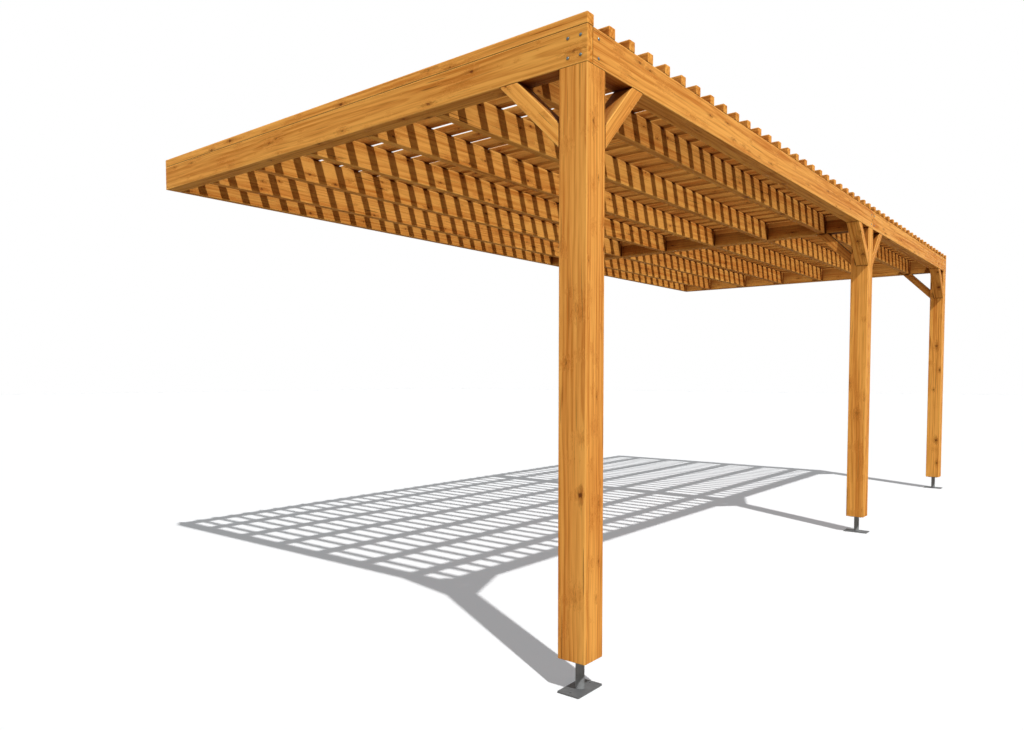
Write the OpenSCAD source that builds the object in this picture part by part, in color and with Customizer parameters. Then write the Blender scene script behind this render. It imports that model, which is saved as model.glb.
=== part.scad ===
// Lean-to timber pergola. Posts on steel feet carry a front beam, and cross
// beams run back from it to a ledger on a wall. Joists fill two bays between
// the cross beams, and slats lie over everything from front to wall.
// +X runs along the wall, +Y points into the wall and +Z is up. The origin is
// on the back face of the ledger, at mid length and at mid height of the beams.

/* [Overall] */
// Length along the wall, over the outer faces of the end beams
length = 7300; // [5400:10:9000]
// Depth from the front face of the front beam to the wall
depth = 3140; // [1800:10:4500]
// Clear height from the ground to the underside of the beams
headroom = 2415; // [1900:5:3200]
// Distance from the left end to the joint between the two front beams
joint_from_left = 4130; // [2200:10:5600]

/* [Beams and joists] */
// Thickness of the beams and braces
beam_t = 90; // [70:1:100]
// Height of the beams, ledgers and joists
beam_h = 140; // [95:1:220]
// Thickness of the joists and ledgers
joist_t = 45; // [35:1:60]
// Thickness of the lip at the front of an end beam, which covers the end of the front beam
corner_lip = 38; // [25:1:50]
// Clear space between the front beam and the first row of joists
joist_front_gap = 260; // [150:5:450]
// Clear space between the last row of joists and the ledger
joist_wall_gap = 305; // [100:5:450]

/* [Posts] */
// Side of the square posts
post_side = 130; // [120:1:160]
// Width of the small chamfer along the upright edges of the posts
post_chamfer = 4; // [1:0.5:8]
// Distance from the joint of the front beams to the right face of the middle post
joint_inset = 15; // [0:1:30]

/* [Braces] */
// Reach of a brace down the post and out along the beam
brace_reach = 295; // [200:5:500]
// Depth of a brace, measured square to its length
brace_depth = 65; // [45:1:110]

/* [Slats] */
// Width of a slat
slat_w = 45; // [30:1:60]
// Height of a slat
slat_h = 44; // [25:1:60]
// Number of slats over the whole length
slat_count = 48; // [30:1:60]

/* [Feet] */
// Height of a foot, from the ground to the underside of the post
foot_h = 128; // [60:1:200]
// Long side of the base plate
plate_l = 174; // [140:1:240]
// Short side of the base plate
plate_w = 102; // [75:1:120]
// Radius of the corners of the base plate
plate_r = 6; // [1:0.5:12]
// Thickness of the base plate
plate_t = 6; // [4:0.5:12]
// Distance from the centre of a bolt hole to the short edge of the plate
hole_edge = 20; // [14:1:26]
// Diameter of the bolt holes in the base plate
hole_d = 11; // [8:0.5:14]
// Diameter of the round stem
stem_d = 36; // [20:1:45]
// Side of the square head plate under the post
head_side = 90; // [60:1:98]
// Thickness of the head plate
head_t = 5; // [4:0.5:10]

/* [Hidden] */
$fn = 64;

// Rows of joists in each bay, and sets of slats across the length
joist_rows = 6;
slat_sets = 6;

timber = [0.80, 0.53, 0.27];
steel = [0.27, 0.28, 0.30];

// Planes that the pieces share
left = -length / 2;
right = length / 2;
front = -depth;
wall = 0;
underside = -beam_h / 2;
beam_top = beam_h / 2;
ground = underside - headroom;
post_base = ground + foot_h;
joint_x = left + joint_from_left;
middle_low = joint_x - beam_t / 2;
middle_high = joint_x + beam_t / 2;
behind_front = front + beam_t;
behind_posts = front + post_side;
ledger_face = wall - joist_t;

// Left faces of the posts
post_left_x = left;
post_middle_x = joint_x + joint_inset - post_side;
post_right_x = right - post_side;

// Front faces of the first row of joists and of the last, and the distance between rows
first_joist_y = behind_front + joist_front_gap;
last_joist_y = ledger_face - joist_wall_gap - joist_t;
joist_pitch = (last_joist_y - first_joist_y) / (joist_rows - 1);

// Distance between the left faces of two slats
slat_pitch = (length - slat_w) / (slat_count - 1);

// A straight timber between its lowest and highest corners
module board(low, high) {
    color(timber) translate(low) cube(high - low);
}

// A square post with chamfered edges, notched at the front for the front beam
module post(x) {
    outline = [
        [post_chamfer, 0], [post_side - post_chamfer, 0],
        [post_side, post_chamfer], [post_side, post_side - post_chamfer],
        [post_side - post_chamfer, post_side], [post_chamfer, post_side],
        [0, post_side - post_chamfer], [0, post_chamfer]
    ];
    color(timber) difference() {
        translate([x, front, post_base])
            linear_extrude(beam_top - post_base) polygon(outline);
        translate([x - beam_t, front - beam_t, underside])
            cube([post_side + 2 * beam_t, 2 * beam_t, 2 * beam_h]);
        children();
    }
}

// The notch beside a post's tongue that takes a cross beam
module cross_beam_notch(x) {
    translate([x, front - beam_t, underside])
        cube([2 * beam_t, post_side + 2 * beam_t, 2 * beam_h]);
}

module post_left() { post(post_left_x) cross_beam_notch(left - beam_t); }
module post_middle() { post(post_middle_x) cross_beam_notch(middle_low); }
module post_right() { post(post_right_x) cross_beam_notch(right - beam_t); }

// The base plate of a foot, with rounded corners
module base_plate() {
    corner_x = plate_l / 2 - plate_r;
    corner_y = plate_w / 2 - plate_r;
    translate([-plate_l / 2, -corner_y, 0]) cube([plate_l, 2 * corner_y, plate_t]);
    translate([-corner_x, -plate_w / 2, 0]) cube([2 * corner_x, plate_w, plate_t]);
    for (x = [-corner_x, corner_x], y = [-corner_y, corner_y])
        translate([x, y, 0]) cylinder(h = plate_t, r = plate_r);
}

// A steel foot under the middle of a post, with the long side of its plate along X
module foot() {
    hole_x = plate_l / 2 - hole_edge;
    difference() {
        base_plate();
        for (x = [-hole_x, hole_x])
            translate([x, 0, -plate_t]) cylinder(h = 3 * plate_t, d = hole_d);
    }
    cylinder(h = foot_h - head_t / 2, d = stem_d);
    translate([-head_side / 2, -head_side / 2, foot_h - head_t])
        cube([head_side, head_side, head_t]);
}

// Sets a foot under the post whose left face is at x
module foot_under(x, turn) {
    color(steel)
        translate([x + post_side / 2, front + post_side / 2, ground]) rotate([0, 0, turn]) foot();
}

module foot_left() { foot_under(post_left_x, 0); }
module foot_middle() { foot_under(post_middle_x, 90); }
module foot_right() { foot_under(post_right_x, 90); }

// A length of the front beam
module front_beam(x_low, x_high) {
    board([x_low, front, underside], [x_high, behind_front, beam_top]);
}

module front_beam_left() { front_beam(left + corner_lip, joint_x); }
module front_beam_right() { front_beam(joint_x, right - corner_lip); }

// An end beam whose front is rebated from rebate_x, so that the front beam laps inside its lip
module end_beam(x, rebate_x) {
    color(timber) difference() {
        translate([x, front, underside]) cube([beam_t, depth, beam_h]);
        translate([rebate_x, front - beam_t, underside - beam_h])
            cube([beam_t, 2 * beam_t, 3 * beam_h]);
    }
}

module end_beam_left() { end_beam(left, left + corner_lip); }
module end_beam_right() { end_beam(right - beam_t, right - corner_lip - beam_t); }

module middle_beam() {
    board([middle_low, behind_front, underside], [middle_high, ledger_face, beam_top]);
}

// A length of the ledger
module ledger(x_low, x_high) {
    board([x_low, ledger_face, underside], [x_high, wall, beam_top]);
}

module ledger_left() { ledger(left + beam_t, joint_x); }
module ledger_right() { ledger(joint_x, right - beam_t); }

// A joist of one bay, with the rows counted from the front
module joist(x_low, x_high, row) {
    y = first_joist_y + (row - 1) * joist_pitch;
    board([x_low, y, underside], [x_high, y + joist_t, beam_top]);
}

module joist_left(row) { joist(left + beam_t, middle_low, row); }
module joist_right(row) { joist(middle_high, right - beam_t, row); }

// Side view of a brace: from a post at start, out along the underside in direction way
module brace_profile(start, way) {
    inner = brace_reach - brace_depth * sqrt(2);
    polygon([
        [start, underside - brace_reach], [start + way * brace_reach, underside],
        [start + way * inner, underside], [start, underside - inner]
    ]);
}

// A brace in the plane of the front beam
module brace_along(post_face, way) {
    color(timber) translate([0, behind_front, 0]) rotate([90, 0, 0])
        linear_extrude(beam_t) brace_profile(post_face, way);
}

// A brace in the plane of a cross beam whose left face is at x
module brace_across(x) {
    color(timber) translate([x, 0, 0]) rotate([90, 0, 90])
        linear_extrude(beam_t) brace_profile(behind_posts, 1);
}

module brace_left_along() { brace_along(post_left_x + post_side, 1); }
module brace_left_across() { brace_across(left); }
module brace_middle_left() { brace_along(post_middle_x, -1); }
module brace_middle_right() { brace_along(post_middle_x + post_side, 1); }
module brace_middle_across() { brace_across(middle_low); }
module brace_right_along() { brace_along(post_right_x, -1); }
module brace_right_across() { brace_across(right - beam_t); }

// One set of neighbouring slats
module slats(set) {
    for (i = [0:slat_count - 1])
        if (floor(i * slat_sets / slat_count) == set - 1) {
            x = left + i * slat_pitch;
            board([x, front, beam_top], [x + slat_w, wall, beam_top + slat_h]);
        }
}

post_left();
post_middle();
post_right();
foot_left();
foot_middle();
foot_right();
front_beam_left();
front_beam_right();
end_beam_left();
end_beam_right();
middle_beam();
ledger_left();
ledger_right();
for (row = [1:joist_rows]) {
    joist_left(row);
    joist_right(row);
}
brace_left_along();
brace_left_across();
brace_middle_left();
brace_middle_right();
brace_middle_across();
brace_right_along();
brace_right_across();
for (set = [1:slat_sets])
    slats(set);
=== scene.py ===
"""Finish of a lean-to timber pergola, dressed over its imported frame, in metres."""

import itertools
import math

import bmesh
import bpy
from mathutils import Matrix, Vector


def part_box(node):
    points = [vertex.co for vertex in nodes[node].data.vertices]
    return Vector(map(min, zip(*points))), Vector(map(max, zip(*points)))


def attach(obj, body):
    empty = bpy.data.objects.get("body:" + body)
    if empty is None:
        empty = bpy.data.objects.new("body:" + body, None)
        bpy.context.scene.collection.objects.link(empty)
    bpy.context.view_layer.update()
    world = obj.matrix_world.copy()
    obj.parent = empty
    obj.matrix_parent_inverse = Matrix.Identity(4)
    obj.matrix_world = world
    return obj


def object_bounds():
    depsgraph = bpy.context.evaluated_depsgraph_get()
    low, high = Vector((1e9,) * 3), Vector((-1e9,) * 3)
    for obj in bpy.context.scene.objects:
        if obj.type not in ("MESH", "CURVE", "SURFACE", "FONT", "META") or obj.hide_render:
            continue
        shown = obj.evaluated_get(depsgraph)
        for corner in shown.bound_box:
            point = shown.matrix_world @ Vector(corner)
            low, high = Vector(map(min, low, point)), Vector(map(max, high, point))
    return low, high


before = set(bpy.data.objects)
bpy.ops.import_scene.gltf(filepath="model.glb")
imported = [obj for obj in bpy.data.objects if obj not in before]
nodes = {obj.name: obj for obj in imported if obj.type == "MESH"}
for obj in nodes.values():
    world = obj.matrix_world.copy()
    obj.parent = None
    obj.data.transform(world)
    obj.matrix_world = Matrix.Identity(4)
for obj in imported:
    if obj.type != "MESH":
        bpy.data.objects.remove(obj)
cad_low, cad_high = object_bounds()

# Steel feet
# Each post stands on a welded foot: a base plate with two anchor holes, a round
# stem and a head plate under the post. The steel is powder coated in mid grey.
COAT_GREY = (0.255, 0.262, 0.264, 1.0)
# Darker coat for the plate's top where feet wear it, and for painted shade low on the foot
COAT_TRODDEN_AND_SHADED = (0.122, 0.125, 0.126, 1.0)
COAT_THIN = (0.190, 0.196, 0.199, 1.0)
COAT_CLOUDS = (18.0, 18.0, 18.0)
COAT_PEEL = (420.0, 420.0, 420.0)
PEEL_DEPTH = 0.0004
PLATE_T = 0.006
PLATE_FADE = 0.003
# Share of painted shade on the plate's sides and the stem's foot
PLATE_SIDE_SHADE = 0.55
FOOT_ARRIS = 0.0010
MERGE_DISTANCE = 0.00001


def feed(tree, socket, value):
    """Links a socket into an input, or sets a plain value on it."""
    if isinstance(value, bpy.types.NodeSocket):
        tree.links.new(value, socket)
    else:
        socket.default_value = value


def maths(tree, operation, first, second=0.0, third=0.0):
    """The result of one Math node."""
    node = tree.nodes.new("ShaderNodeMath")
    node.operation = operation
    for socket, value in zip(node.inputs, (first, second, third)):
        feed(tree, socket, value)
    return node.outputs["Value"]


def eased(tree, value, low, high, out_low=0.0, out_high=1.0):
    """A value eased smoothly from the span low to high onto the span out_low to out_high."""
    node = tree.nodes.new("ShaderNodeMapRange")
    node.interpolation_type = "SMOOTHSTEP"
    feed(tree, node.inputs["Value"], value)
    node.inputs["From Min"].default_value = low
    node.inputs["From Max"].default_value = high
    node.inputs["To Min"].default_value = out_low
    node.inputs["To Max"].default_value = out_high
    return node.outputs["Result"]


def scaled(tree, vector, amounts):
    """A vector with each of its axes multiplied."""
    node = tree.nodes.new("ShaderNodeVectorMath")
    node.operation = "MULTIPLY"
    feed(tree, node.inputs[0], vector)
    node.inputs[1].default_value = amounts
    return node.outputs["Vector"]


def split_vector(tree, vector):
    """The three parts of a vector."""
    node = tree.nodes.new("ShaderNodeSeparateXYZ")
    tree.links.new(vector, node.inputs["Vector"])
    return node.outputs["X"], node.outputs["Y"], node.outputs["Z"]


def mottle(tree, place, lumps, detail=2.0):
    """Noise over a place, with its own number of lumps a metre along each axis."""
    node = tree.nodes.new("ShaderNodeTexNoise")
    node.inputs["Scale"].default_value = 1.0
    node.inputs["Detail"].default_value = detail
    feed(tree, node.inputs["Vector"], scaled(tree, place, lumps))
    return node.outputs["Fac"]


def blended(tree, share, first, second, way="MIX"):
    """Two colours mixed by a share of the second."""
    node = tree.nodes.new("ShaderNodeMix")
    node.data_type = "RGBA"
    node.blend_type = way
    feed(tree, node.inputs[0], share)
    feed(tree, node.inputs[6], first)
    feed(tree, node.inputs[7], second)
    return node.outputs[2]


def new_material(name):
    """A material with its node tree and its shader."""
    material = bpy.data.materials.new(name)
    material.use_nodes = True
    return material, material.node_tree, material.node_tree.nodes["Principled BSDF"]


def object_place(tree):
    """The place of a point in the frame."""
    return tree.nodes.new("ShaderNodeTexCoord").outputs["Object"]


def raise_surface(tree, shader, height, depth, strength):
    """Feeds a height, in shares of a depth, to the shader's normal."""
    bump = tree.nodes.new("ShaderNodeBump")
    bump.inputs["Strength"].default_value = strength
    bump.inputs["Distance"].default_value = depth
    tree.links.new(height, bump.inputs["Height"])
    tree.links.new(bump.outputs["Normal"], shader.inputs["Normal"])


def powder_coat():
    """Grey powder coat: a fine orange peel, slightly uneven, darker on the plate's top from wear,
    with painted shade on the plate's sides and the foot of the stem.
    """
    material, tree, shader = new_material("powder_coated_steel")
    place = object_place(tree)
    cloud = mottle(tree, place, COAT_CLOUDS, 4.0)
    peel = mottle(tree, place, COAT_PEEL)
    _, _, facing_up = split_vector(tree, tree.nodes.new("ShaderNodeNewGeometry").outputs["Normal"])
    _, _, height = split_vector(tree, place)
    plate_top = cad_low.z + PLATE_T
    looks_up = eased(tree, facing_up, 0.6, 0.95)
    # Painted shade on the plate's sides and on the stem just above the plate
    shade_low_on_foot = eased(tree, height, plate_top + PLATE_FADE, plate_top, 0.0, PLATE_SIDE_SHADE)
    worn_and_shaded = maths(tree, "MAXIMUM", looks_up, shade_low_on_foot)
    trodden_and_shaded = maths(tree, "MULTIPLY", worn_and_shaded, eased(tree, cloud, 0.30, 0.70, 0.80, 1.0))
    coat = blended(tree, eased(tree, cloud, 0.30, 0.70), COAT_THIN, COAT_GREY)
    coat = blended(tree, eased(tree, peel, 0.35, 0.65, 0.0, 0.25), coat, COAT_THIN)
    tree.links.new(blended(tree, trodden_and_shaded, coat, COAT_TRODDEN_AND_SHADED), shader.inputs["Base Color"])
    shader.inputs["Specular IOR Level"].default_value = 0.25
    tree.links.new(eased(tree, cloud, 0.25, 0.75, 0.40, 0.58), shader.inputs["Roughness"])
    raise_surface(tree, shader, peel, PEEL_DEPTH, 0.35)
    return material


def dress(piece, material):
    """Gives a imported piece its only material."""
    piece.data.materials.clear()
    piece.data.materials.append(material)


def ease_edges(piece, radius):
    """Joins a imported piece's loose triangles into whole faces, and rounds its sharp edges."""
    weld = piece.modifiers.new("joined", "WELD")
    weld.merge_threshold = MERGE_DISTANCE
    flatten = piece.modifiers.new("whole_faces", "DECIMATE")
    flatten.decimate_type = "DISSOLVE"
    flatten.angle_limit = math.radians(1.0)
    bevel = piece.modifiers.new("eased_edges", "BEVEL")
    bevel.width = radius
    bevel.segments = 2
    bevel.limit_method = "ANGLE"
    bevel.angle_limit = math.radians(30.0)


coated_steel = powder_coat()
for foot in ("foot_left", "foot_middle", "foot_right"):
    dress(nodes[foot], coated_steel)
    ease_edges(nodes[foot], FOOT_ARRIS)

# Posts
# Three square posts of planed softwood in a honey tone, with small chamfers on their
# edges, notched at the top for the beams. Growth rings, knots and cracks run along them.
TIMBER_PALE = (0.980, 0.468, 0.101, 1.0)
TIMBER_DEEP = (0.640, 0.203, 0.030, 1.0)
TIMBER_RESIN = (0.370, 0.104, 0.015, 1.0)
# Paler edges: wear, and a painted highlight along the arrises
TIMBER_EDGE_WEAR_AND_HIGHLIGHT = (1.000, 0.520, 0.125, 1.0)
TIMBER_KNOT = (0.150, 0.042, 0.010, 1.0)
# Drying cracks, and painted shade in the seams between boards
TIMBER_CRACK_AND_SEAM_SHADE = (0.150, 0.034, 0.005, 1.0)
# Painted shade in corners that other boards hide from the light
TIMBER_CORNER_SHADE = (0.160, 0.048, 0.008, 1.0)
TIMBER_BOUNCE = (0.400, 0.095, 0.008, 1.0)
END_TONE = (1.000, 0.985, 0.960, 1.0)
POST_SIDE = 0.130
POST_ARRIS = 0.0015
UPRIGHT = (0.0, math.radians(-90.0), 0.0)

# Lumps a metre of each mark, along the grain and across it both ways
GRAIN_BENDS = (1.4, 7.0, 7.0)
GRAIN_RIPPLES = (0.8, 14.0, 14.0)
GRAIN_BANDS = (0.6, 16.0, 16.0)
GRAIN_STREAKS = (1.7, 75.0, 75.0)
GRAIN_FIBRES = (7.0, 330.0, 330.0)
RESIN_LINES = (3.0, 120.0, 120.0)
DRYING_CRACKS = (2.1, 116.0, 116.0)
KNOT_CELLS = (7.5, 13.0, 13.0)
KNOT_RIMS = (60.0, 220.0, 220.0)

# Growth rings, and how far the grain and the heart of the tree wander
RINGS_A_METRE = 52.0
RIPPLE_RINGS = 1.8
SWIRL_RINGS = 2.2
BEND_REACH = 0.016
HEART_START = -0.125
HEART_SPREAD = 0.20
HEART_SWAY = 0.05
SWAYS_A_METRE = 0.6
BOARD_STEP = 7.31

# Knots: the share of cells without one, and the span of their radius
KNOTLESS_SHARE = 0.25
KNOT_SMALL = 0.0030
KNOT_LARGE = 0.0080

# How near other boards stand where painted shade darkens the timber
SEAM_SHADE_REACH = 0.012
CORNER_SHADE_REACH = 0.30
NEARNESS_SAMPLES = 8
GRAIN_DEPTH = 0.0012


def split_colour(tree, colour):
    """The three parts of a colour."""
    node = tree.nodes.new("ShaderNodeSeparateColor")
    tree.links.new(colour, node.inputs["Color"])
    return node.outputs["Red"], node.outputs["Green"], node.outputs["Blue"]


def joined_vector(tree, first, second, third):
    """A vector from its three parts."""
    node = tree.nodes.new("ShaderNodeCombineXYZ")
    for socket, value in zip(node.inputs, (first, second, third)):
        feed(tree, socket, value)
    return node.outputs["Vector"]


def length_of(tree, vector):
    """The length of a vector."""
    node = tree.nodes.new("ShaderNodeVectorMath")
    node.operation = "LENGTH"
    tree.links.new(vector, node.inputs[0])
    return node.outputs["Value"]


def moved(tree, value, noise, reach):
    """A value moved by a noise, half of the reach at most either way."""
    shift = maths(tree, "MULTIPLY", maths(tree, "SUBTRACT", noise, 0.5), reach)
    return maths(tree, "ADD", value, shift)


def knots_in(tree, spot):
    """How far a spot is in a knot, in its dark tails along the grain, and in the swirl round it."""
    cells = scaled(tree, spot, KNOT_CELLS)
    voronoi = tree.nodes.new("ShaderNodeTexVoronoi")
    voronoi.inputs["Scale"].default_value = 1.0
    tree.links.new(cells, voronoi.inputs["Vector"])
    away = tree.nodes.new("ShaderNodeVectorMath")
    away.operation = "SUBTRACT"
    tree.links.new(voronoi.outputs["Position"], away.inputs[0])
    tree.links.new(cells, away.inputs[1])
    chance, size, _ = split_colour(tree, voronoi.outputs["Color"])
    grown = maths(tree, "GREATER_THAN", chance, KNOTLESS_SHARE)
    radius = eased(tree, size, 0.0, 1.0, KNOT_SMALL, KNOT_LARGE)
    uneven = eased(tree, mottle(tree, spot, KNOT_RIMS), 0.30, 0.70, 0.65, 1.45)
    radius = maths(tree, "MULTIPLY", radius, uneven)

    def reach(along_share):
        """The distance to the knot in radii, with the way along the grain cut to a share."""
        # A knot runs through the thin way of a board
        squeeze = (along_share / KNOT_CELLS[0], 0.40 / KNOT_CELLS[1], 1.0 / KNOT_CELLS[2])
        distance = length_of(tree, scaled(tree, away.outputs["Vector"], squeeze))
        return maths(tree, "DIVIDE", distance, radius)

    core = maths(tree, "MULTIPLY", grown, eased(tree, reach(0.50), 1.10, 0.45))
    tail = maths(tree, "MULTIPLY", grown, eased(tree, reach(0.12), 1.70, 0.20))
    swirl = maths(tree, "MULTIPLY", grown, eased(tree, reach(0.60), 4.5, 0.5))
    return core, tail, swirl


def timber_grain():
    """Solid wood in a board's own place: X along the grain, Y its thin way and Z its wide way."""
    group = bpy.data.node_groups.new("timber_grain", "ShaderNodeTree")
    inputs = (
        ("Place", "NodeSocketVector"),
        ("Half Size", "NodeSocketVector"),
        ("End Grain", "NodeSocketFloat"),
        ("Board", "NodeSocketFloat"),
    )
    outputs = (
        ("Color", "NodeSocketColor"),
        ("Roughness", "NodeSocketFloat"),
        ("Height", "NodeSocketFloat"),
    )
    for name, kind in inputs:
        group.interface.new_socket(name, in_out="INPUT", socket_type=kind)
    for name, kind in outputs:
        group.interface.new_socket(name, in_out="OUTPUT", socket_type=kind)
    given = group.nodes.new("NodeGroupInput").outputs
    result = group.nodes.new("NodeGroupOutput").inputs

    # Each board is cut from another part of another tree
    lot = group.nodes.new("ShaderNodeTexWhiteNoise")
    lot.noise_dimensions = "1D"
    group.links.new(given["Board"], lot.inputs["W"])
    lot_red, lot_green, lot_blue = split_colour(group, lot.outputs["Color"])
    along, across, upward = split_vector(group, given["Place"])
    run = maths(group, "ADD", along, maths(group, "MULTIPLY", given["Board"], BOARD_STEP))
    spot = joined_vector(group, run, across, upward)

    # The grain wanders a little, so what follows it is read at a bent spot
    bend = group.nodes.new("ShaderNodeTexNoise")
    bend.inputs["Scale"].default_value = 1.0
    feed(group, bend.inputs["Vector"], scaled(group, spot, GRAIN_BENDS))
    bend_y, bend_z, _ = split_colour(group, bend.outputs["Color"])
    across_bent = moved(group, across, bend_y, BEND_REACH)
    upward_bent = moved(group, upward, bend_z, BEND_REACH)
    bent = joined_vector(group, run, across_bent, upward_bent)

    # Growth rings round the heart of the tree, which wanders along the board
    sway = group.nodes.new("ShaderNodeTexNoise")
    sway.noise_dimensions = "1D"
    sway.inputs["Scale"].default_value = SWAYS_A_METRE
    group.links.new(run, sway.inputs["W"])
    sway_y, sway_z, _ = split_colour(group, sway.outputs["Color"])
    heart_y = maths(group, "MULTIPLY_ADD", lot_red, HEART_SPREAD, HEART_START)
    heart_z = maths(group, "MULTIPLY_ADD", lot_green, HEART_SPREAD, HEART_START)
    heart_y = maths(group, "ADD", heart_y, maths(group, "MULTIPLY", sway_y, HEART_SWAY))
    heart_z = maths(group, "ADD", heart_z, maths(group, "MULTIPLY", sway_z, HEART_SWAY))
    past_heart_y = maths(group, "SUBTRACT", across_bent, heart_y)
    past_heart_z = maths(group, "SUBTRACT", upward_bent, heart_z)
    from_heart = length_of(group, joined_vector(group, 0.0, past_heart_y, past_heart_z))
    core, tail, swirl = knots_in(group, bent)
    ripple = mottle(group, spot, GRAIN_RIPPLES, 3.0)
    rings = maths(group, "MULTIPLY", from_heart, RINGS_A_METRE)
    rings = maths(group, "ADD", rings, maths(group, "MULTIPLY", ripple, RIPPLE_RINGS))
    rings = maths(group, "ADD", rings, maths(group, "MULTIPLY", swirl, SWIRL_RINGS))
    phase = maths(group, "FRACT", rings)
    darkening = eased(group, phase, 0.20, 0.88)
    late_wood = maths(group, "MULTIPLY", darkening, eased(group, phase, 1.0, 0.88))

    # Broad bands, streaks and fibres along the grain
    bands = mottle(group, bent, GRAIN_BANDS)
    streaks = mottle(group, bent, GRAIN_STREAKS, 4.0)
    fibres = mottle(group, bent, GRAIN_FIBRES)
    resin = eased(group, mottle(group, bent, RESIN_LINES), 0.60, 0.76)
    cracks = eased(group, mottle(group, bent, DRYING_CRACKS, 1.0), 0.705, 0.750)
    tone = maths(group, "MULTIPLY", late_wood, 0.44)
    tone = maths(group, "ADD", tone, eased(group, bands, 0.32, 0.68, -0.12, 0.38))
    tone = maths(group, "ADD", tone, eased(group, streaks, 0.32, 0.68, -0.20, 0.32))
    tone = maths(group, "ADD", tone, eased(group, fibres, 0.30, 0.70, -0.15, 0.19))
    tone.node.use_clamp = True
    colour = blended(group, tone, TIMBER_PALE, TIMBER_DEEP)
    colour = blended(group, maths(group, "MULTIPLY", resin, 0.42), colour, TIMBER_RESIN)
    board_tone = group.nodes.new("ShaderNodeHueSaturation")
    group.links.new(eased(group, lot_blue, 0.0, 1.0, 0.95, 1.05), board_tone.inputs["Value"])
    group.links.new(eased(group, lot_red, 0.0, 1.0, 0.499, 0.501), board_tone.inputs["Hue"])
    group.links.new(colour, board_tone.inputs["Color"])
    colour = board_tone.outputs["Color"]

    # Knots with a warm halo and dark tails, and drying cracks
    colour = blended(group, maths(group, "MULTIPLY", swirl, 0.40), colour, TIMBER_DEEP)
    colour = blended(group, maths(group, "MULTIPLY", tail, 0.55), colour, TIMBER_RESIN)
    colour = blended(group, maths(group, "MULTIPLY", core, 0.90), colour, TIMBER_KNOT)
    colour = blended(group, maths(group, "MULTIPLY", cracks, 0.60), colour, TIMBER_CRACK_AND_SEAM_SHADE)

    # Edges paler from wear and a painted highlight, and end grain a little darker
    _, half_y, half_z = split_vector(group, given["Half Size"])
    inset_y = maths(group, "SUBTRACT", half_y, maths(group, "ABSOLUTE", across))
    inset_z = maths(group, "SUBTRACT", half_z, maths(group, "ABSOLUTE", upward))
    wear_and_highlight = eased(group, maths(group, "MAXIMUM", inset_y, inset_z), 0.0065, 0.0015)
    wear_and_highlight = maths(group, "MULTIPLY", wear_and_highlight, eased(group, ripple, 0.30, 0.60, 0.50, 0.90))
    colour = blended(group, wear_and_highlight, colour, TIMBER_EDGE_WEAR_AND_HIGHLIGHT)
    colour = blended(group, given["End Grain"], colour, END_TONE, "MULTIPLY")
    group.links.new(colour, result["Color"])

    rough = eased(group, streaks, 0.30, 0.70, 0.46, 0.60)
    rough = maths(group, "ADD", rough, maths(group, "MULTIPLY", given["End Grain"], 0.18))
    group.links.new(rough, result["Roughness"])

    height = maths(group, "MULTIPLY", late_wood, 0.35)
    height = maths(group, "ADD", height, maths(group, "MULTIPLY", fibres, 0.45))
    height = maths(group, "SUBTRACT", height, maths(group, "MULTIPLY", cracks, 0.90))
    height = maths(group, "SUBTRACT", height, maths(group, "MULTIPLY", core, 0.30))
    group.links.new(height, result["Height"])
    return group


grain_group = timber_grain()


def openness(tree, reach):
    """How open a spot is within a reach: 1 where nothing stands near it."""
    node = tree.nodes.new("ShaderNodeAmbientOcclusion")
    node.samples = NEARNESS_SAMPLES
    node.inputs["Distance"].default_value = reach
    return node.outputs["AO"]


def timber_shader(tree, shader, place, end_grain, half_size, board):
    """Dresses a shader in timber, for a board's own place and its number."""
    grain = tree.nodes.new("ShaderNodeGroup")
    grain.node_tree = grain_group
    tree.links.new(place, grain.inputs["Place"])
    tree.links.new(end_grain, grain.inputs["End Grain"])
    grain.inputs["Half Size"].default_value = half_size
    feed(tree, grain.inputs["Board"], board)
    # Painted shade: a dark line in the seams where boards meet
    clear_of_seam_shade = eased(tree, openness(tree, SEAM_SHADE_REACH), 0.78, 1.00)
    colour = blended(tree, clear_of_seam_shade, TIMBER_CRACK_AND_SEAM_SHADE, grain.outputs["Color"])
    # Painted shade: a darker tone in corners that other boards hide from the light
    painted_corner_shade = eased(tree, openness(tree, CORNER_SHADE_REACH), 0.92, 0.15, 0.0, 0.95)
    colour = blended(tree, painted_corner_shade, colour, TIMBER_CORNER_SHADE)
    # A deeper colour in the light that goes from board to board
    between_boards = tree.nodes.new("ShaderNodeLightPath").outputs["Is Diffuse Ray"]
    tree.links.new(blended(tree, between_boards, colour, TIMBER_BOUNCE), shader.inputs["Base Color"])
    tree.links.new(grain.outputs["Roughness"], shader.inputs["Roughness"])
    shader.inputs["Specular IOR Level"].default_value = 0.02
    raise_surface(tree, shader, grain.outputs["Height"], GRAIN_DEPTH, 0.45)


def end_mask(tree, turn):
    """Where a face looks along the grain of a board with that turn."""
    turned = tree.nodes.new("ShaderNodeMapping")
    turned.vector_type = "TEXTURE"
    turned.inputs["Rotation"].default_value = turn
    tree.links.new(tree.nodes.new("ShaderNodeNewGeometry").outputs["Normal"], turned.inputs["Vector"])
    along, _, _ = split_vector(tree, turned.outputs["Vector"])
    return eased(tree, maths(tree, "ABSOLUTE", along), 0.75, 0.95)


board_numbers = itertools.count(1)


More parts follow.
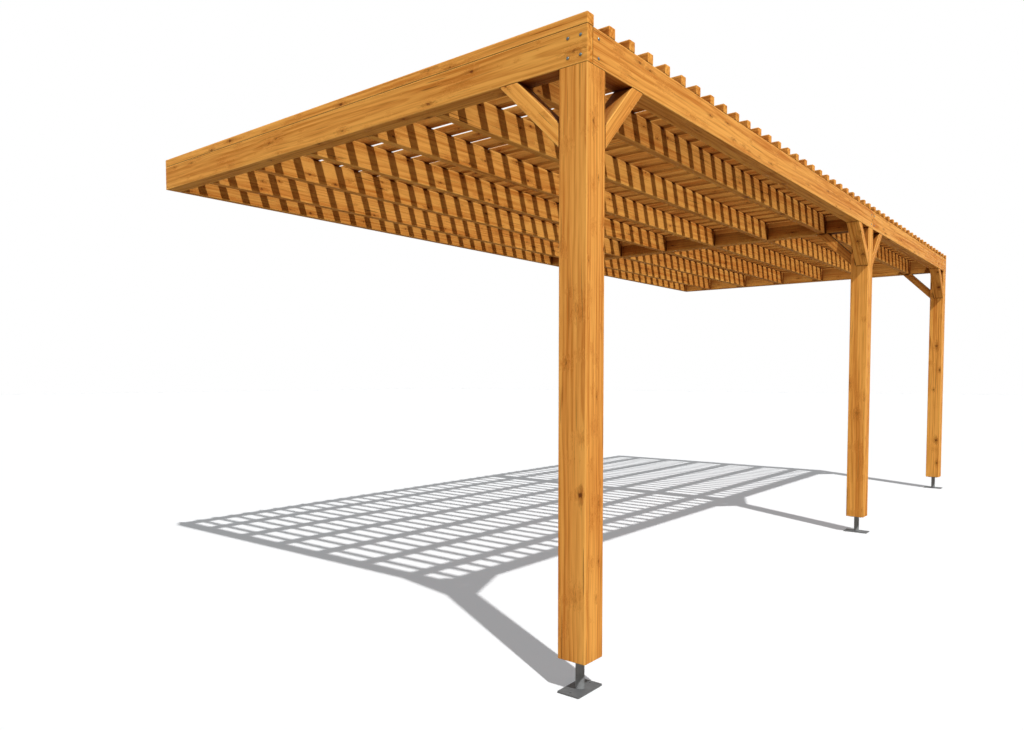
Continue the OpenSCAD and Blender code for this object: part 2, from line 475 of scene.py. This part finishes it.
def finish_board(name, turn, thin, wide, shift=(0.0, 0.0, 0.0)):
    """Gives a packed board its own timber, with the grain along the X axis of its turn."""
    low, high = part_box(name)
    material, tree, shader = new_material(name + "_timber")
    own_place = tree.nodes.new("ShaderNodeMapping")
    own_place.vector_type = "TEXTURE"
    own_place.inputs["Location"].default_value = (low + high) / 2 + Vector(shift)
    own_place.inputs["Rotation"].default_value = turn
    tree.links.new(object_place(tree), own_place.inputs["Vector"])
    half_size = (0.0, thin / 2, wide / 2)
    board = float(next(board_numbers))
    timber_shader(tree, shader, own_place.outputs["Vector"], end_mask(tree, turn), half_size, board)
    dress(nodes[name], material)


for post in ("post_left", "post_middle", "post_right"):
    finish_board(post, UPRIGHT, POST_SIDE, POST_SIDE)
    ease_edges(nodes[post], POST_ARRIS)

# Front beams
# Two planed softwood beams, end to end over the middle post. They lie in the notches
# of the post heads and are screwed there.
BEAM_T = 0.090
BEAM_H = 0.140
BOARD_ARRIS = 0.003
ALONG_FRONT = (0.0, 0.0, 0.0)

for beam in ("front_beam_left", "front_beam_right"):
    finish_board(beam, ALONG_FRONT, BEAM_T, BEAM_H)
    ease_edges(nodes[beam], BOARD_ARRIS)

# End beams and middle beam
# Planed beams that run from the front to the back. The end beams sit in notches of the
# outer posts, and a lip at their front covers the end of the front beam at the corner.
TO_BACK = (0.0, 0.0, math.radians(90.0))

for beam in ("end_beam_left", "end_beam_right", "middle_beam"):
    finish_board(beam, TO_BACK, BEAM_T, BEAM_H)
    ease_edges(nodes[beam], BOARD_ARRIS)

# Ledgers
# Two planed softwood boards on edge, end to end along the back. The back ends of the
# slats lie on them, and the middle beam butts against them.
JOIST_T = 0.045

for ledger in ("ledger_left", "ledger_right"):
    finish_board(ledger, ALONG_FRONT, JOIST_T, BEAM_H)
    ease_edges(nodes[ledger], BOARD_ARRIS)

# Joists
# Six rows of planed softwood boards on edge in each of the two bays. Their ends butt
# against the end beams and the middle beam.
JOIST_ROWS = range(1, 7)

for row in JOIST_ROWS:
    for bay in ("left", "right"):
        joist = f"joist_{bay}_{row}"
        finish_board(joist, ALONG_FRONT, JOIST_T, BEAM_H)
        ease_edges(nodes[joist], BOARD_ARRIS)

# Braces
# Seven short diagonals of planed softwood between the posts and the beams. Both ends
# are mitred, to sit flat on the post and on the underside of the beam.
BRACE_DEPTH = 0.065
DIAGONAL = math.radians(45.0)
MID_BRACE = BRACE_DEPTH / 2 * math.sqrt(0.5)

for brace in ("brace_left_along", "brace_middle_right"):
    finish_board(brace, (0.0, -DIAGONAL, 0.0), BEAM_T, BRACE_DEPTH, (-MID_BRACE, 0.0, MID_BRACE))
for brace in ("brace_middle_left", "brace_right_along"):
    finish_board(brace, (0.0, DIAGONAL, 0.0), BEAM_T, BRACE_DEPTH, (MID_BRACE, 0.0, MID_BRACE))
for brace in ("brace_left_across", "brace_middle_across", "brace_right_across"):
    turn = (0.0, -DIAGONAL, math.radians(90.0))
    finish_board(brace, turn, BEAM_T, BRACE_DEPTH, (0.0, -MID_BRACE, MID_BRACE))
for brace in (name for name in nodes if name.startswith("brace_")):
    ease_edges(nodes[brace], BOARD_ARRIS)

# Slats
# Forty-eight planed battens, almost square, that run from the front to the back with
# even gaps. They lie on the beams, joists and ledgers and are screwed down.
SLAT_COUNT = 48
SLAT_W = 0.045
FIRST_SLAT_BOARD = 200.0
slats_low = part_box("slats_1")[0]
slats_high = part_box("slats_6")[1]
slats_middle = (slats_low + slats_high) / 2
slat_half_h = (slats_high.z - slats_low.z) / 2
first_slat_x = slats_low.x + SLAT_W / 2
slat_pitch = (slats_high.x - slats_low.x - SLAT_W) / (SLAT_COUNT - 1)


def slat_timber():
    """Timber for all slats, where each slat is a board of its own."""
    material, tree, shader = new_material("slat_timber")
    to_right, to_back, upward = split_vector(tree, object_place(tree))
    step = maths(tree, "DIVIDE", maths(tree, "SUBTRACT", to_right, first_slat_x), slat_pitch)
    slat = maths(tree, "ROUND", step)
    across = maths(tree, "MULTIPLY", maths(tree, "SUBTRACT", step, slat), slat_pitch)
    along = maths(tree, "SUBTRACT", to_back, slats_middle.y)
    place = joined_vector(tree, along, across, maths(tree, "SUBTRACT", upward, slats_middle.z))
    half_size = (0.0, SLAT_W / 2, slat_half_h)
    board = maths(tree, "ADD", slat, FIRST_SLAT_BOARD)
    timber_shader(tree, shader, place, end_mask(tree, TO_BACK), half_size, board)
    return material


slat_wood = slat_timber()
for slats in (name for name in nodes if name.startswith("slats_")):
    dress(nodes[slats], slat_wood)
    ease_edges(nodes[slats], BOARD_ARRIS)

# Frame screws
# Domed heads of the plated steel screws that fix the beams at the posts. They sit on
# the front at both corners and at the joint, and on the outer side of the left end.
STEEL_LIGHT = (0.260, 0.360, 0.370, 1.0)
STEEL_DARK = (0.090, 0.130, 0.140, 1.0)
STEEL_CLOUDS = (260.0, 260.0, 260.0)
DOME_STEPS = 20
# Half profile from the round drive recess out to the rim: radius, height
DOME_PROFILE = (
    (0.0, 0.0006),
    (0.0016, 0.0006),
    (0.0020, 0.0027),
    (0.0035, 0.0024),
    (0.0050, 0.0015),
    (0.0059, 0.0004),
    (0.0060, -0.0010),
)
# Drops from the top of the beams, and distances from the front, the ends and the joint
SCREW_DROPS = (0.0355, 0.1085)
SIDE_SCREW_BACKS = (0.031, 0.089)
END_SCREW_INSET = 0.078
BEFORE_JOINT = 0.043
AFTER_JOINT = 0.036


def bright_steel():
    """Zinc plated steel, a little cloudy."""
    material, tree, shader = new_material("plated_steel")
    place = object_place(tree)
    cloud = mottle(tree, place, STEEL_CLOUDS, 3.0)
    colour = blended(tree, eased(tree, cloud, 0.3, 0.7), STEEL_DARK, STEEL_LIGHT)
    tree.links.new(colour, shader.inputs["Base Color"])
    tree.links.new(eased(tree, cloud, 0.3, 0.7, 0.42, 0.26), shader.inputs["Roughness"])
    shader.inputs["Metallic"].default_value = 1.0
    return material


def spun_head(name, profile, steps):
    """A screw head spun round the Z axis from its half profile."""
    bm = bmesh.new()
    points = [bm.verts.new((radius, 0.0, height)) for radius, height in profile]
    edges = [bm.edges.new(pair) for pair in zip(points, points[1:])]
    bmesh.ops.spin(
        bm,
        geom=points + edges,
        cent=(0.0, 0.0, 0.0),
        axis=(0.0, 0.0, 1.0),
        angle=math.tau,
        steps=steps,
        use_merge=True,
    )
    bmesh.ops.remove_doubles(bm, verts=bm.verts, dist=MERGE_DISTANCE)
    bmesh.ops.recalc_face_normals(bm, faces=bm.faces)
    mesh = bpy.data.meshes.new(name)
    bm.to_mesh(mesh)
    bm.free()
    return mesh


def set_heads(name, head, places, material):
    """One piece with a head at each place: a point, and the way that the head looks."""
    bm = bmesh.new()
    for point, way in places:
        before = set(bm.verts)
        bm.from_mesh(head)
        added = [vert for vert in bm.verts if vert not in before]
        turn = Vector((0.0, 0.0, 1.0)).rotation_difference(Vector(way)).to_matrix().to_4x4()
        bmesh.ops.transform(bm, matrix=Matrix.Translation(point) @ turn, verts=added)
    for face in bm.faces:
        face.smooth = True
    mesh = bpy.data.meshes.new(name)
    bm.to_mesh(mesh)
    bm.free()
    mesh.materials.append(material)
    piece = bpy.data.objects.new(name, mesh)
    bpy.context.scene.collection.objects.link(piece)
    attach(piece, "root")


plated_steel = bright_steel()
dome_head = spun_head("dome_head", DOME_PROFILE, DOME_STEPS)
front_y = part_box("front_beam_left")[0].y
beam_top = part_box("front_beam_left")[1].z
left_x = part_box("end_beam_left")[0].x
right_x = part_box("end_beam_right")[1].x
joint_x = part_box("front_beam_left")[1].x
front_screws = (
    left_x + END_SCREW_INSET,
    joint_x - BEFORE_JOINT,
    joint_x + AFTER_JOINT,
    right_x - END_SCREW_INSET,
)
frame_screws = []
for drop in SCREW_DROPS:
    for back in SIDE_SCREW_BACKS:
        frame_screws.append(((left_x, front_y + back, beam_top - drop), (-1.0, 0.0, 0.0)))
    for x in front_screws:
        frame_screws.append(((x, front_y, beam_top - drop), (0.0, -1.0, 0.0)))
set_heads("frame_screws", dome_head, frame_screws, plated_steel)

# Slat screws
# Countersunk plated steel screws hold each slat down, one on each row of boards: the
# front beam, the six rows of joists and the ledger. They are driven all but flush.
SUNK_STEPS = 10
# Half profile from the round drive recess out to the rim: radius, height
SUNK_PROFILE = (
    (0.0, -0.0008),
    (0.0015, -0.0008),
    (0.0018, 0.0001),
    (0.0040, 0.0001),
    (0.0042, -0.0010),
)
sunk_head = spun_head("sunk_head", SUNK_PROFILE, SUNK_STEPS)
crossed_boards = ["front_beam_left", "ledger_left"] + [f"joist_left_{row}" for row in JOIST_ROWS]
slat_screws = []
for board in crossed_boards:
    low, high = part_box(board)
    for slat in range(SLAT_COUNT):
        point = (first_slat_x + slat * slat_pitch, (low.y + high.y) / 2, slats_high.z)
        slat_screws.append((point, (0.0, 0.0, 1.0)))
set_heads("slat_screws", sunk_head, slat_screws, plated_steel)

# Floor and light
# A pale floor keeps the shadow. A sun from the front left and a soft sky, brightest
# low down, light the frame.
FLOOR_SEEN = (0.79, 0.79, 0.79, 1.0)
FLOOR_LIFT = (0.242, 0.256, 0.266, 1.0)
FLOOR_THROWN = (0.325, 0.292, 0.240, 1.0)
FLOOR_SIZE = 60.0
FLOOR_DROP = 0.0006
SUN_TRAVEL = Vector((0.328, 0.60, -1.0))
SUN_STRENGTH = 3.25
SUN_SPREAD = math.radians(0.8)
SKY_WHITE = (1.0, 1.0, 1.0, 1.0)
SKY_LOW_STRENGTH = 2.0
SKY_HIGH_STRENGTH = 0.05


def pale_floor():
    """A floor that looks near white, and throws only a little light back up."""
    material = bpy.data.materials.new("pale_floor")
    material.use_nodes = True
    tree = material.node_tree
    tree.nodes.clear()
    seen = tree.nodes.new("ShaderNodeBsdfDiffuse")
    seen.inputs["Color"].default_value = FLOOR_SEEN
    lift = tree.nodes.new("ShaderNodeEmission")
    lift.inputs["Color"].default_value = FLOOR_LIFT
    seen_and_lift = tree.nodes.new("ShaderNodeAddShader")
    tree.links.new(seen.outputs["BSDF"], seen_and_lift.inputs[0])
    tree.links.new(lift.outputs["Emission"], seen_and_lift.inputs[1])
    thrown = tree.nodes.new("ShaderNodeBsdfDiffuse")
    thrown.inputs["Color"].default_value = FLOOR_THROWN
    light_path = tree.nodes.new("ShaderNodeLightPath")
    mix = tree.nodes.new("ShaderNodeMixShader")
    tree.links.new(light_path.outputs["Is Camera Ray"], mix.inputs["Fac"])
    tree.links.new(thrown.outputs["BSDF"], mix.inputs[1])
    tree.links.new(seen_and_lift.outputs["Shader"], mix.inputs[2])
    output = tree.nodes.new("ShaderNodeOutputMaterial")
    tree.links.new(mix.outputs["Shader"], output.inputs["Surface"])
    return material


bm = bmesh.new()
floor_place = Matrix.Translation((0.0, 0.0, cad_low.z - FLOOR_DROP))
bmesh.ops.create_grid(bm, x_segments=1, y_segments=1, size=FLOOR_SIZE, matrix=floor_place)
floor_mesh = bpy.data.meshes.new("floor")
bm.to_mesh(floor_mesh)
bm.free()
floor_mesh.materials.append(pale_floor())
floor = bpy.data.objects.new("floor", floor_mesh)
bpy.context.scene.collection.objects.link(floor)

sun_light = bpy.data.lights.new("sun", "SUN")
sun_light.energy = SUN_STRENGTH
sun_light.angle = SUN_SPREAD
sun = bpy.data.objects.new("sun", sun_light)
sun.rotation_euler = SUN_TRAVEL.to_track_quat("-Z", "Y").to_euler()
bpy.context.scene.collection.objects.link(sun)


def soft_sky():
    """A soft sky, brightest near the horizon, that is seen, and mirrored, as plain white."""
    world = bpy.data.worlds.new("soft_sky")
    world.use_nodes = True
    tree = world.node_tree
    tree.nodes.clear()
    sky = tree.nodes.new("ShaderNodeBackground")
    sky.inputs["Color"].default_value = SKY_WHITE
    _, _, upward = split_vector(tree, tree.nodes.new("ShaderNodeTexCoord").outputs["Generated"])
    strength = eased(tree, upward, 0.02, 0.30, SKY_LOW_STRENGTH, SKY_HIGH_STRENGTH)
    tree.links.new(strength, sky.inputs["Strength"])
    white = tree.nodes.new("ShaderNodeBackground")
    white.inputs["Color"].default_value = SKY_WHITE
    light_path = tree.nodes.new("ShaderNodeLightPath").outputs
    shown = maths(tree, "MAXIMUM", light_path["Is Camera Ray"], light_path["Is Glossy Ray"])
    shown = maths(tree, "MAXIMUM", shown, light_path["Is Transmission Ray"])
    mix = tree.nodes.new("ShaderNodeMixShader")
    tree.links.new(shown, mix.inputs["Fac"])
    tree.links.new(sky.outputs["Background"], mix.inputs[1])
    tree.links.new(white.outputs["Background"], mix.inputs[2])
    output = tree.nodes.new("ShaderNodeOutputWorld")
    tree.links.new(mix.outputs["Shader"], output.inputs["Surface"])
    return world


bpy.context.scene.world = soft_sky()
bpy.context.scene.view_settings.view_transform = "Standard"

# Camera
# It stands off the left front corner, about 1.2 m above the base plates, and looks
# past the left post along the front and under the roof.
camera_data = bpy.data.cameras.new("camera")
camera_data.sensor_fit = "HORIZONTAL"
camera_data.sensor_width = 36.0
camera_data.lens = 26.930
camera_data.shift_y = 0.04620
camera = bpy.data.objects.new("camera", camera_data)
camera.location = (-6.09353, -4.73545, -1.24913)
camera.rotation_euler = (math.radians(87.436), 0.0, math.radians(-51.344))
bpy.context.scene.collection.objects.link(camera)
bpy.context.scene.camera = camera
